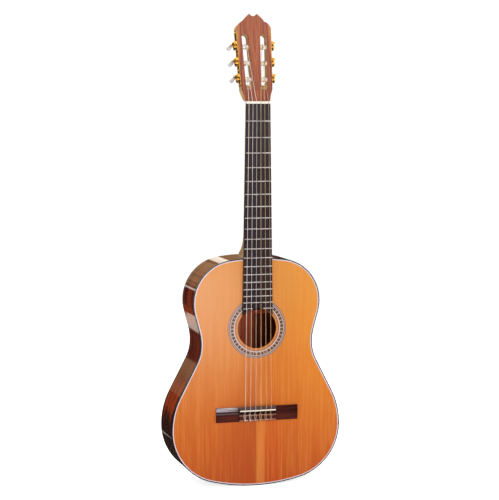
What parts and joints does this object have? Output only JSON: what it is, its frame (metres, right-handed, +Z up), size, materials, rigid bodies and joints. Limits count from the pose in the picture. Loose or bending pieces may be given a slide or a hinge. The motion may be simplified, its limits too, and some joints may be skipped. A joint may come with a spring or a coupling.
{
  "type": "classical guitar",
  "caption": "Nylon-string classical guitar with cedar soundboard, rosewood ribs, slotted head, and worm-gear tuners whose keys turn the string rollers.",
  "frame": {"origin": "on the centre line at the tail's lowest point, in the middle of the front-to-back size", "axes": "+Z runs up the neck from the tail to the head; the soundboard faces -Y; the treble side is +X"},
  "size_m": [0.374, 0.1111, 1.0051],
  "materials": {
    "cedar": "gloss lacquer over fine straight grain",
    "rosewood": "gloss lacquer over dark streaked grain",
    "veneer_wood": "gloss lacquer over streaked rosewood",
    "dark_binding": "gloss",
    "pale_line": "gloss lacquer over dyed wood lines",
    "mosaic": "gloss lacquer over end-grain blocks",
    "cedro": "satin lacquer",
    "spruce": "bare planed wood",
    "ebony": "oiled, nearly black",
    "bone": "polished bone",
    "nickel_silver": "polished",
    "gilt_brass": "polished plating",
    "pearl_plastic": "pearly gloss",
    "roller_plastic": "cream gloss",
    "clear_nylon": "clear, smooth",
    "wound_silver": "fine silver-plated winding"
  },
  "bodies": {
    "guitar": {"soundboard_bass": "cedar", "soundboard_treble": "cedar", "rosette_rings": "pale_line", "rosette_mosaic": "mosaic", "top_purfling": "pale_line", "top_binding": "dark_binding", "rib_bass": "rosewood", "rib_treble": "rosewood", "tail_graft": "dark_binding", "tail_block": "cedro", "linings": "cedro", "top_braces": "spruce", "bridge_patch": "spruce", "back_bass": "rosewood", "back_treble": "rosewood", "back_strip": "pale_line", "back_binding": "dark_binding", "back_braces": "cedro", "neck": "cedro", "heel_cap": "dark_binding", "head_veneer": "veneer_wood", "fingerboard": "ebony", "frets": "nickel_silver", "nut": "bone", "bridge": "rosewood", "tie_block_trim": "pale_line", "saddle": "bone", "tuner_plate_bass": "gilt_brass", "tuner_plate_treble": "gilt_brass", "plate_screws": "gilt_brass", "string_1": "clear_nylon", "string_2": "clear_nylon", "string_3": "clear_nylon", "string_4": "wound_silver", "string_5": "wound_silver", "string_6": "wound_silver"},
    "tuner_key_1": {"button_1": "pearl_plastic", "worm_1": "gilt_brass"},
    "string_roller_1": {"gear_1": "gilt_brass", "roller_1": "roller_plastic"},
    "tuner_key_2": {"button_2": "pearl_plastic", "worm_2": "gilt_brass"},
    "string_roller_2": {"gear_2": "gilt_brass", "roller_2": "roller_plastic"},
    "tuner_key_3": {"button_3": "pearl_plastic", "worm_3": "gilt_brass"},
    "string_roller_3": {"gear_3": "gilt_brass", "roller_3": "roller_plastic"},
    "tuner_key_4": {"button_4": "pearl_plastic", "worm_4": "gilt_brass"},
    "string_roller_4": {"gear_4": "gilt_brass", "roller_4": "roller_plastic"},
    "tuner_key_5": {"button_5": "pearl_plastic", "worm_5": "gilt_brass"},
    "string_roller_5": {"gear_5": "gilt_brass", "roller_5": "roller_plastic"},
    "tuner_key_6": {"button_6": "pearl_plastic", "worm_6": "gilt_brass"},
    "string_roller_6": {"gear_6": "gilt_brass", "roller_6": "roller_plastic"}
  },
  "joints": [
    {"name": "key_turn_1", "type": "hinge", "parent": "guitar", "child": "tuner_key_1", "pos_m": [0.03991, -0.02353, 0.87401], "axis": [0, 0.9781, -0.2079], "continuous": true},
    {"name": "roller_turn_1", "type": "hinge", "parent": "guitar", "child": "string_roller_1", "pos_m": [0.03542, -0.02533, 0.86555], "axis": [0.9994, -0.0071, -0.0333], "continuous": true},
    {"name": "key_turn_2", "type": "hinge", "parent": "guitar", "child": "tuner_key_2", "pos_m": [0.04111, -0.01625, 0.90825], "axis": [0, 0.9781, -0.2079], "continuous": true},
    {"name": "roller_turn_2", "type": "hinge", "parent": "guitar", "child": "string_roller_2", "pos_m": [0.03661, -0.01805, 0.89979], "axis": [0.9994, -0.0071, -0.0333], "continuous": true},
    {"name": "key_turn_3", "type": "hinge", "parent": "guitar", "child": "tuner_key_3", "pos_m": [0.0423, -0.00898, 0.94248], "axis": [0, 0.9781, -0.2079], "continuous": true},
    {"name": "roller_turn_3", "type": "hinge", "parent": "guitar", "child": "string_roller_3", "pos_m": [0.0378, -0.01078, 0.93402], "axis": [0.9994, -0.0071, -0.0333], "continuous": true},
    {"name": "key_turn_4", "type": "hinge", "parent": "guitar", "child": "tuner_key_4", "pos_m": [-0.0423, -0.00898, 0.94248], "axis": [0, 0.9781, -0.2079], "continuous": true},
    {"name": "roller_turn_4", "type": "hinge", "parent": "guitar", "child": "string_roller_4", "pos_m": [-0.0378, -0.01078, 0.93402], "axis": [-0.9994, -0.0071, -0.0333], "continuous": true},
    {"name": "key_turn_5", "type": "hinge", "parent": "guitar", "child": "tuner_key_5", "pos_m": [-0.04111, -0.01625, 0.90825], "axis": [0, 0.9781, -0.2079], "continuous": true},
    {"name": "roller_turn_5", "type": "hinge", "parent": "guitar", "child": "string_roller_5", "pos_m": [-0.03661, -0.01805, 0.89979], "axis": [-0.9994, -0.0071, -0.0333], "continuous": true},
    {"name": "key_turn_6", "type": "hinge", "parent": "guitar", "child": "tuner_key_6", "pos_m": [-0.03991, -0.02353, 0.87401], "axis": [0, 0.9781, -0.2079], "continuous": true},
    {"name": "roller_turn_6", "type": "hinge", "parent": "guitar", "child": "string_roller_6", "pos_m": [-0.03542, -0.02533, 0.86555], "axis": [-0.9994, -0.0071, -0.0333], "continuous": true}
  ],
  "couplings": [
    {"joint": "roller_turn_1", "follows": "key_turn_1", "ratio": 0.071429},
    {"joint": "roller_turn_2", "follows": "key_turn_2", "ratio": 0.071429},
    {"joint": "roller_turn_3", "follows": "key_turn_3", "ratio": 0.071429},
    {"joint": "roller_turn_4", "follows": "key_turn_4", "ratio": 0.071429},
    {"joint": "roller_turn_5", "follows": "key_turn_5", "ratio": 0.071429},
    {"joint": "roller_turn_6", "follows": "key_turn_6", "ratio": 0.071429}
  ]
}
